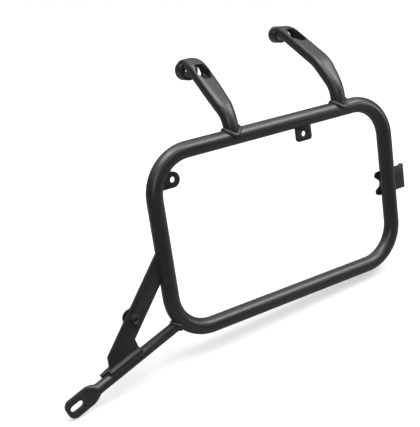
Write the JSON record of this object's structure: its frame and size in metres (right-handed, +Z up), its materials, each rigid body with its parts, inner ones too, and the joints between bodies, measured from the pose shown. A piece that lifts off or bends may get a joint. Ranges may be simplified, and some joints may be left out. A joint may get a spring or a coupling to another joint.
{
  "type": "motorcycle pannier bracket",
  "caption": "Left-hand pannier bracket: a bent tube loop on two forged arms with bolt eyes, a braced lower stay with a slotted end, fixing tabs and a lock clip.",
  "frame": {"origin": "middle of the front arm's bolt hole, on its mounting face", "axes": "+X to the rear of the motorcycle, +Y inboard to the motorcycle's frame, +Z up"},
  "size_m": [0.5393, 0.1321, 0.3732],
  "materials": {
    "powder_coat": "satin black powder coat on steel, with a light metallic sheen",
    "coated_weld": "satin black powder coat over weld beads"
  },
  "bodies": {
    "root": {"loop_tube": "powder_coat", "front_arm": "powder_coat", "rear_arm": "powder_coat", "front_eye": "powder_coat", "rear_eye": "powder_coat", "front_arm_weld": "coated_weld", "rear_arm_weld": "coated_weld", "front_eye_weld": "coated_weld", "rear_eye_weld": "coated_weld", "stay_tube": "powder_coat", "stay_weld": "coated_weld", "brace": "powder_coat", "brace_ear": "powder_coat", "brace_nut": "powder_coat", "brace_top_weld": "coated_weld", "brace_foot_weld": "coated_weld", "brace_nut_weld": "coated_weld", "front_tab": "powder_coat", "top_tab": "powder_coat", "front_tab_weld": "coated_weld", "top_tab_weld": "coated_weld", "lock_clip": "powder_coat", "lock_clip_weld": "coated_weld"}
  },
  "joints": []
}
